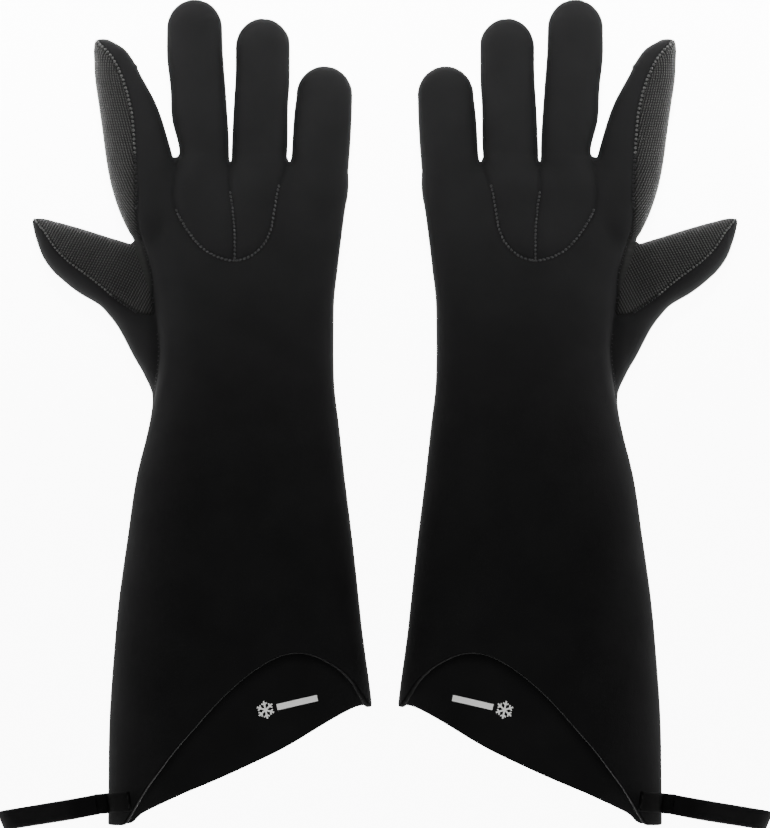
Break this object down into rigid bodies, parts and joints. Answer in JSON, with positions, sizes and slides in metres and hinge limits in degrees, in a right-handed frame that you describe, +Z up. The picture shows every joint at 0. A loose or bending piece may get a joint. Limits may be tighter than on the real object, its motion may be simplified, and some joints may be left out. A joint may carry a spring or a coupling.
{
  "type": "cryogenic gloves",
  "caption": "Pair of long insulated five-finger gauntlet gloves with a textured grip palm, a cuff cut back in an arch and a webbing hanging loop on the cuff edge.",
  "frame": {"origin": "on the table, midway between the two gloves and halfway along them", "axes": "+X from the right-hand glove to the left-hand glove, +Y from cuff to fingertips, +Z up from the table"},
  "size_m": [0.4038, 0.4336, 0.0496],
  "materials": {
    "neoprene_jersey": "matt black knitted jersey on foam rubber",
    "grip_fabric": "dark grey waffle of small raised squares, slightly shiny",
    "seam_thread": "dark grey sewing thread",
    "loop_webbing": "black bound jersey strap"
  },
  "bodies": {
    "right_gauntlet": {"right_gauntlet_back_panel": "neoprene_jersey", "right_gauntlet_palm_panel": "neoprene_jersey", "right_wrist_band": "neoprene_jersey", "right_loop_tab": "loop_webbing"},
    "right_hand": {"right_hand_back_panel": "neoprene_jersey", "right_middle_knuckle_insert": "neoprene_jersey", "right_ring_knuckle_insert": "neoprene_jersey", "right_palm_grip_panel": "grip_fabric", "right_palm_heel_panel": "neoprene_jersey", "right_back_seam_stitching": "seam_thread", "right_palm_edge_stitching": "seam_thread"},
    "right_index_finger": {"right_index_finger_back": "neoprene_jersey", "right_index_finger_grip": "grip_fabric", "right_index_seam_stitching": "seam_thread"},
    "right_middle_finger": {"right_middle_finger_back": "neoprene_jersey", "right_middle_finger_grip": "grip_fabric"},
    "right_ring_finger": {"right_ring_finger_back": "neoprene_jersey", "right_ring_finger_grip": "grip_fabric"},
    "right_little_finger": {"right_little_finger_back": "neoprene_jersey", "right_little_finger_grip": "grip_fabric"},
    "right_thumb": {"right_thumb_grip": "grip_fabric", "right_thumb_back": "neoprene_jersey", "right_thumb_seam_stitching": "seam_thread"},
    "right_loop": {"right_hanging_loop": "loop_webbing"},
    "left_gauntlet": {"left_gauntlet_back_panel": "neoprene_jersey", "left_gauntlet_palm_panel": "neoprene_jersey", "left_wrist_band": "neoprene_jersey", "left_loop_tab": "loop_webbing"},
    "left_hand": {"left_hand_back_panel": "neoprene_jersey", "left_middle_knuckle_insert": "neoprene_jersey", "left_ring_knuckle_insert": "neoprene_jersey", "left_palm_grip_panel": "grip_fabric", "left_palm_heel_panel": "neoprene_jersey", "left_back_seam_stitching": "seam_thread", "left_palm_edge_stitching": "seam_thread"},
    "left_index_finger": {"left_index_finger_back": "neoprene_jersey", "left_index_finger_grip": "grip_fabric", "left_index_seam_stitching": "seam_thread"},
    "left_middle_finger": {"left_middle_finger_back": "neoprene_jersey", "left_middle_finger_grip": "grip_fabric"},
    "left_ring_finger": {"left_ring_finger_back": "neoprene_jersey", "left_ring_finger_grip": "grip_fabric"},
    "left_little_finger": {"left_little_finger_back": "neoprene_jersey", "left_little_finger_grip": "grip_fabric"},
    "left_thumb": {"left_thumb_grip": "grip_fabric", "left_thumb_back": "neoprene_jersey", "left_thumb_seam_stitching": "seam_thread"},
    "left_loop": {"left_hanging_loop": "loop_webbing"}
  },
  "joints": [
    {"name": "right_wrist_bend", "type": "hinge", "parent": "right_gauntlet", "child": "right_hand", "pos_m": [-0.0745, -0.008, 0.02], "axis": [1, 0, 0], "range_deg": [-50, 50], "deforming": ["right_wrist_band"]},
    {"name": "right_index_curl", "type": "hinge", "parent": "right_hand", "child": "right_index_finger", "pos_m": [-0.1295, 0.1358, 0.0015], "axis": [-0.9569, -0.2904, 0], "range_deg": [0, 75]},
    {"name": "right_middle_curl", "type": "hinge", "parent": "right_hand", "child": "right_middle_finger", "pos_m": [-0.095, 0.136, 0.0015], "axis": [-0.9972, -0.0743, 0], "range_deg": [0, 75]},
    {"name": "right_ring_curl", "type": "hinge", "parent": "right_hand", "child": "right_ring_finger", "pos_m": [-0.0655, 0.136, 0.0015], "axis": [-0.9997, 0.0258, 0], "range_deg": [0, 75]},
    {"name": "right_little_curl", "type": "hinge", "parent": "right_hand", "child": "right_little_finger", "pos_m": [-0.0335, 0.136, 0.0015], "axis": [-0.9975, 0.0702, 0], "range_deg": [0, 75]},
    {"name": "right_thumb_curl", "type": "hinge", "parent": "right_hand", "child": "right_thumb", "pos_m": [-0.137, 0.073, 0.0003], "axis": [-0.4695, -0.8829, 0], "range_deg": [0, 60]},
    {"name": "right_loop_swing", "type": "hinge", "parent": "right_gauntlet", "child": "right_loop", "pos_m": [-0.1496, -0.2039, 0.03], "axis": [0.1392, -0.9903, 0], "range_deg": [-60, 40]},
    {"name": "left_glove_lift", "type": "slide", "parent": "right_gauntlet", "child": "left_gauntlet", "axis": [0, 0, 1], "range_m": [0, 0.15]},
    {"name": "left_wrist_bend", "type": "hinge", "parent": "left_gauntlet", "child": "left_hand", "pos_m": [0.0745, -0.008, 0.02], "axis": [1, 0, 0], "range_deg": [-50, 50], "deforming": ["left_wrist_band"]},
    {"name": "left_index_curl", "type": "hinge", "parent": "left_hand", "child": "left_index_finger", "pos_m": [0.1295, 0.1358, 0.0015], "axis": [-0.9569, 0.2904, 0], "range_deg": [0, 75]},
    {"name": "left_middle_curl", "type": "hinge", "parent": "left_hand", "child": "left_middle_finger", "pos_m": [0.095, 0.136, 0.0015], "axis": [-0.9972, 0.0743, 0], "range_deg": [0, 75]},
    {"name": "left_ring_curl", "type": "hinge", "parent": "left_hand", "child": "left_ring_finger", "pos_m": [0.0655, 0.136, 0.0015], "axis": [-0.9997, -0.0258, 0], "range_deg": [0, 75]},
    {"name": "left_little_curl", "type": "hinge", "parent": "left_hand", "child": "left_little_finger", "pos_m": [0.0335, 0.136, 0.0015], "axis": [-0.9975, -0.0702, 0], "range_deg": [0, 75]},
    {"name": "left_thumb_curl", "type": "hinge", "parent": "left_hand", "child": "left_thumb", "pos_m": [0.137, 0.073, 0.0003], "axis": [-0.4695, 0.8829, 0], "range_deg": [0, 60]},
    {"name": "left_loop_swing", "type": "hinge", "parent": "left_gauntlet", "child": "left_loop", "pos_m": [0.1496, -0.2039, 0.03], "axis": [0.1392, 0.9903, 0], "range_deg": [-60, 40]}
  ]
}
